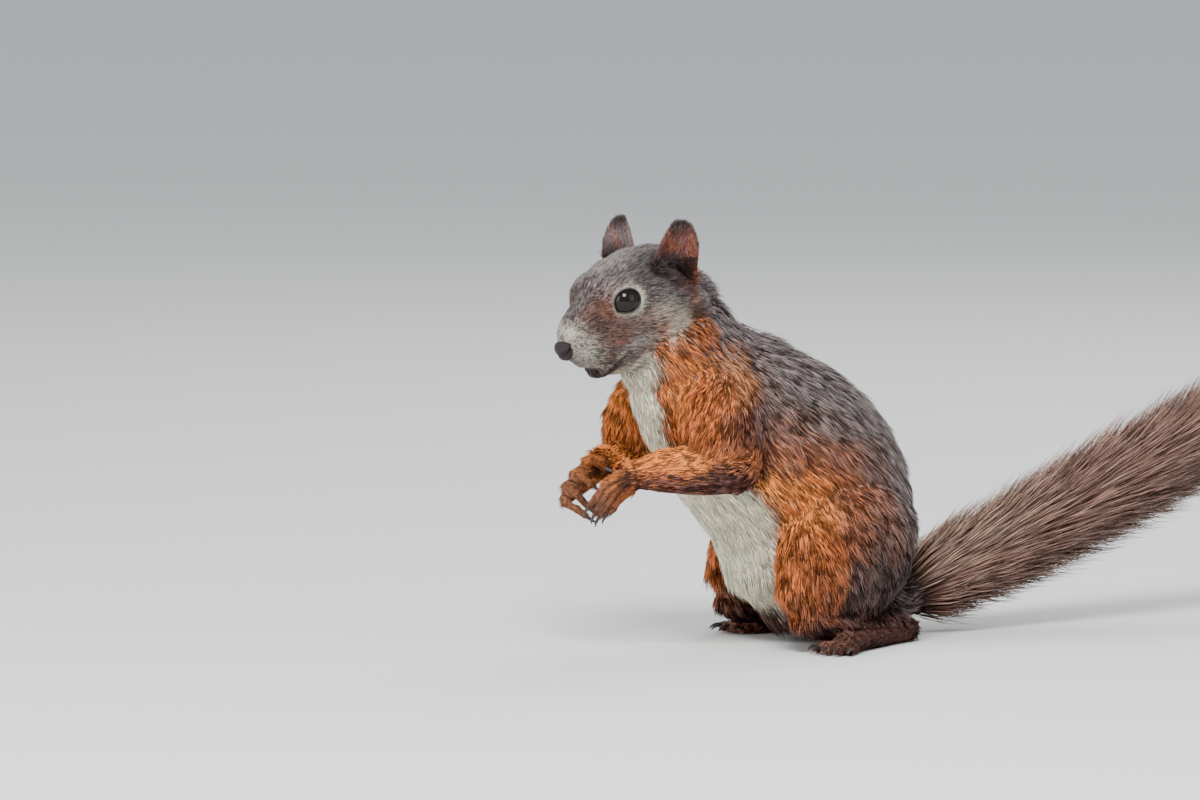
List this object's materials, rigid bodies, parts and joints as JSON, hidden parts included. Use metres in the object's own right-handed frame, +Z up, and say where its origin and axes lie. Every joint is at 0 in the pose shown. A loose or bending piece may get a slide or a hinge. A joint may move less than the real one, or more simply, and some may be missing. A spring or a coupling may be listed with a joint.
{
  "type": "red squirrel figure",
  "caption": "Still life-size red squirrel sitting up on its haunches, forepaws held together at its chest and bushy tail trailing behind.",
  "frame": {"origin": "on the floor, under the middle of the animal's outline", "axes": "-Y the way it faces, +X its left side, +Z up"},
  "size_m": [0.0912, 0.3078, 0.1452],
  "materials": {
    "coat_grey_brown": "short grey-brown coat",
    "coat_orange": "short orange-red coat",
    "coat_dark_brown": "short dark brown coat",
    "coat_paw": "very short brown coat",
    "coat_tail": "long grey-brown hair",
    "eye": "wet gloss",
    "nose_leather": "fine grained",
    "claw": "horn, half gloss"
  },
  "bodies": {
    "root": {"chest": "coat_orange", "ear_left": "coat_grey_brown", "ear_right": "coat_grey_brown", "eye_left": "eye", "eye_right": "eye", "finger_claw_left_1": "claw", "finger_claw_left_2": "claw", "finger_claw_left_3": "claw", "finger_claw_left_4": "claw", "finger_claw_right_1": "claw", "finger_claw_right_2": "claw", "finger_claw_right_3": "claw", "finger_claw_right_4": "claw", "foot_left": "coat_dark_brown", "foot_right": "coat_dark_brown", "forearm_left": "coat_orange", "forearm_right": "coat_orange", "hand_left": "coat_paw", "hand_right": "coat_paw", "head": "coat_grey_brown", "loin": "coat_grey_brown", "neck": "coat_orange", "nose": "nose_leather", "pelvis": "coat_grey_brown", "shank_left": "coat_dark_brown", "shank_right": "coat_dark_brown", "tail_base": "coat_tail", "tail_middle": "coat_tail", "tail_tip": "coat_tail", "tail_upper": "coat_tail", "thigh_left": "coat_orange", "thigh_right": "coat_orange", "toe_claw_left_1": "claw", "toe_claw_left_2": "claw", "toe_claw_left_3": "claw", "toe_claw_left_4": "claw", "toe_claw_left_5": "claw", "toe_claw_right_1": "claw", "toe_claw_right_2": "claw", "toe_claw_right_3": "claw", "toe_claw_right_4": "claw", "toe_claw_right_5": "claw", "upper_arm_left": "coat_orange", "upper_arm_right": "coat_orange"}
  },
  "joints": []
}
